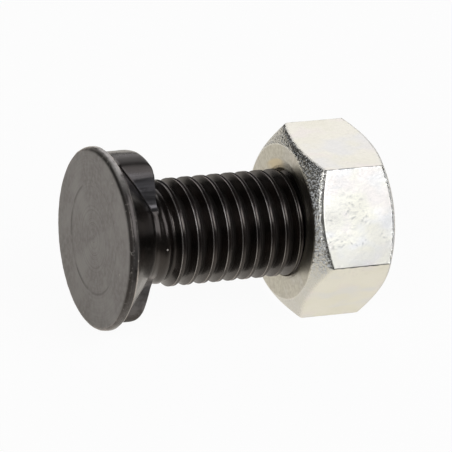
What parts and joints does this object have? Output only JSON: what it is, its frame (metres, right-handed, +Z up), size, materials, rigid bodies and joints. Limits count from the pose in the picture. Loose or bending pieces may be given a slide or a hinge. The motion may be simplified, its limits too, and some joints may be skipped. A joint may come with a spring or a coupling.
{
  "type": "plow bolt",
  "caption": "Flat countersunk plow bolt with a nib on each side under its head, a threaded shank and a chamfered hex nut that turns on the thread to clamp a plate against the cone.",
  "frame": {"origin": "middle of the flat face of the head", "axes": "+X along the bolt from the head towards the nut, +Z up with one flat of the nut facing down"},
  "size_m": [0.034, 0.022, 0.0204],
  "materials": {
    "black_steel": "satin",
    "zinc_steel": "satin"
  },
  "bodies": {
    "bolt": {"plow_bolt": "black_steel"},
    "nut": {"hex_nut": "zinc_steel"}
  },
  "joints": [
    {"name": "nut_turn", "type": "hinge", "parent": "bolt", "child": "nut", "pos_m": [0.0278, 0, 0], "axis": [1, 0, 0], "continuous": true}
  ]
}
